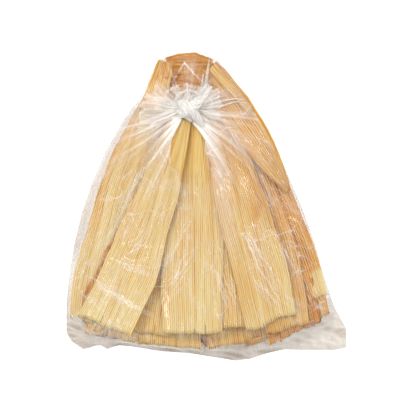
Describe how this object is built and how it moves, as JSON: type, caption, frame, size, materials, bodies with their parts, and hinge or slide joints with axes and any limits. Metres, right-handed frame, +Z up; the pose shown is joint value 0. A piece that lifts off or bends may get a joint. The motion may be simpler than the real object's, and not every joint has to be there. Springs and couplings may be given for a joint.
{
  "type": "bagged bundle of corn husks",
  "caption": "Fan of dried corn husks lying flat, folded tips gathered in a neck, cut ends spread, in a thin clear film bag whose sides are knotted over the front",
  "frame": {"origin": "centre of the bag's flat back, on the surface it lies on", "axes": "+X to the bundle's right, +Y from the cut ends to the folded tips, +Z up out of the knotted front"},
  "size_m": [0.246, 0.2626, 0.0516],
  "materials": {
    "husk_straw": "dry ribbed leaf, satin",
    "husk_amber": "dry ribbed leaf, browned, satin",
    "film_clear": "thin creased polyethylene film, glossy"
  },
  "bodies": {
    "root": {"bag": "film_clear", "husk_centre_left": "husk_straw", "husk_centre_right": "husk_straw", "husk_crosswise_low": "husk_amber", "husk_crosswise_top": "husk_straw", "husk_far_left": "husk_straw", "husk_far_right": "husk_amber", "husk_front_centre": "husk_straw", "husk_front_left": "husk_straw", "husk_front_right": "husk_straw", "husk_inner_01": "husk_straw", "husk_inner_02": "husk_straw", "husk_inner_03": "husk_straw", "husk_inner_04": "husk_straw", "husk_inner_05": "husk_straw", "husk_inner_06": "husk_straw", "husk_inner_07": "husk_straw", "husk_inner_08": "husk_straw", "husk_inner_09": "husk_straw", "husk_inner_10": "husk_straw", "husk_inner_11": "husk_straw", "husk_inner_12": "husk_straw", "husk_inner_13": "husk_straw", "husk_inner_14": "husk_straw", "husk_inner_15": "husk_straw", "husk_inner_16": "husk_straw", "husk_inner_17": "husk_straw", "husk_inner_18": "husk_straw", "husk_inner_19": "husk_straw", "husk_inner_20": "husk_straw", "husk_inner_21": "husk_straw", "husk_inner_22": "husk_straw", "husk_inner_23": "husk_straw", "husk_inner_24": "husk_straw", "husk_inner_25": "husk_straw", "husk_inner_26": "husk_straw", "husk_inner_27": "husk_straw", "husk_inner_28": "husk_straw", "husk_inner_29": "husk_straw", "husk_inner_30": "husk_straw", "husk_left_pale": "husk_straw", "husk_left_tip": "husk_straw", "husk_lower_centre": "husk_straw", "husk_lower_right": "husk_straw", "husk_pale_stub": "husk_straw", "husk_right_amber": "husk_amber", "husk_right_flap": "husk_straw", "husk_right_gold": "husk_straw", "husk_right_strip": "husk_straw", "husk_torn_strip": "husk_amber"}
  },
  "joints": []
}
